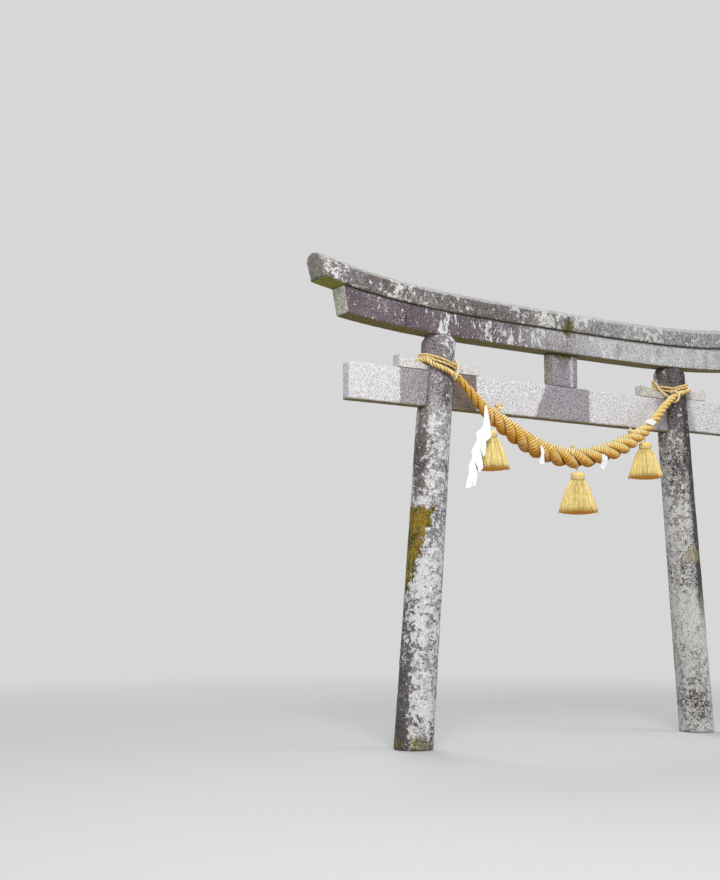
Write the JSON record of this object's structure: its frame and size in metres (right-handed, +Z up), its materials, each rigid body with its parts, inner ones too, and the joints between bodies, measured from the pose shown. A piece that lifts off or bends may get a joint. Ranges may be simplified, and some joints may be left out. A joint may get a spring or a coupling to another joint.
{
  "type": "torii gate",
  "caption": "Stone gate of two leaning round pillars, a wedged tie beam and an upswept double lintel, hung with a twisted straw rope, straw tassels and paper streamers.",
  "frame": {"origin": "on the ground midway between the two pillars, at the bottom centre of the stonework's bounding box", "axes": "+X to the right as seen from the front, where the rope hangs; -Y is the front; +Z up"},
  "size_m": [4.5162, 0.5602, 3.4417],
  "materials": {
    "granite_pillar": "matte",
    "granite_tie_beam": "matte",
    "granite_wedge": "matte",
    "granite_strut": "matte",
    "granite_lintel": "matte",
    "granite_cap": "matte",
    "rope_straw": "matte",
    "cord_straw": "matte",
    "binding_straw": "matte",
    "tassel_straw": "matte",
    "white_paper": "matte"
  },
  "bodies": {
    "gate": {"pillar_left": "granite_pillar", "pillar_right": "granite_pillar", "tie_beam": "granite_tie_beam", "tie_end_right": "granite_tie_beam", "wedge_left_outer": "granite_wedge", "wedge_left_inner": "granite_wedge", "wedge_right_inner": "granite_wedge", "wedge_right_outer": "granite_wedge", "centre_strut": "granite_strut", "lower_lintel_left": "granite_lintel", "lower_lintel_right": "granite_lintel", "cap_left": "granite_cap", "cap_right": "granite_cap", "straw_rope": "rope_straw", "rope_wrap_left": "rope_straw", "rope_wrap_right": "rope_straw", "wrap_knot_left": "cord_straw", "wrap_knot_right": "cord_straw", "tassel_loop_left": "cord_straw", "tassel_loop_centre": "cord_straw", "tassel_loop_right": "cord_straw", "paper_streamer_long": "white_paper", "paper_streamer_left": "white_paper", "paper_streamer_right": "white_paper", "paper_streamer_top": "white_paper"},
    "tassel_left": {"tassel_cord_left": "cord_straw", "tassel_head_left": "binding_straw", "tassel_skirt_left": "tassel_straw"},
    "tassel_centre": {"tassel_cord_centre": "cord_straw", "tassel_head_centre": "binding_straw", "tassel_skirt_centre": "tassel_straw"},
    "tassel_right": {"tassel_cord_right": "cord_straw", "tassel_head_right": "binding_straw", "tassel_skirt_right": "tassel_straw"}
  },
  "joints": [
    {"name": "tassel_left_swing", "type": "hinge", "parent": "gate", "child": "tassel_left", "pos_m": [-0.82807, -0.17, 2.30691], "axis": [1, 0, 0], "range_deg": [-35, 35]},
    {"name": "tassel_centre_swing", "type": "hinge", "parent": "gate", "child": "tassel_centre", "pos_m": [0.00885, -0.17, 2.02926], "axis": [1, 0, 0], "range_deg": [-35, 35]},
    {"name": "tassel_right_swing", "type": "hinge", "parent": "gate", "child": "tassel_right", "pos_m": [0.71985, -0.17, 2.31671], "axis": [1, 0, 0], "range_deg": [-35, 35]}
  ]
}
